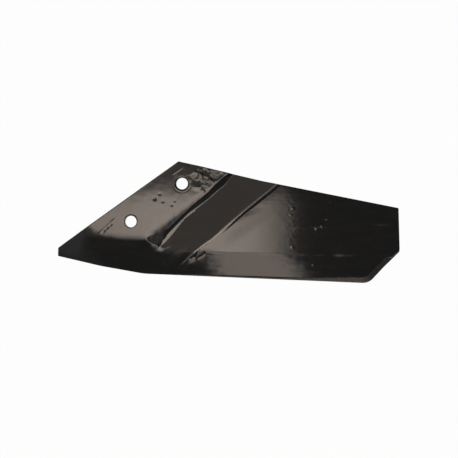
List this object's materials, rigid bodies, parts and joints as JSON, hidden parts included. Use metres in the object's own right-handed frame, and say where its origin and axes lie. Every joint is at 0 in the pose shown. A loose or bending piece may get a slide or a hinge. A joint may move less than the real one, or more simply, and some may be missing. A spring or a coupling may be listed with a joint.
{
  "type": "plough share",
  "caption": "Forged one-piece steel plough share with a blunt point, bolt holes by its landside edge, a stepped diagonal band and a bevelled cutting edge.",
  "frame": {"origin": "on the flat back face, halfway between the two bolt holes", "axes": "+X along the cutting edge from the point to the wing, +Y up the share from the cutting edge to the mouldboard joint, +Z out of the worked front face. The share lies on its flat back."},
  "size_m": [0.4098, 0.1366, 0.0124],
  "materials": {
    "black_paint": "glossy near-black dipped paint over forged steel, with forge scale, pits and handling marks under it"
  },
  "bodies": {
    "root": {"plough_share": "black_paint"}
  },
  "joints": []
}
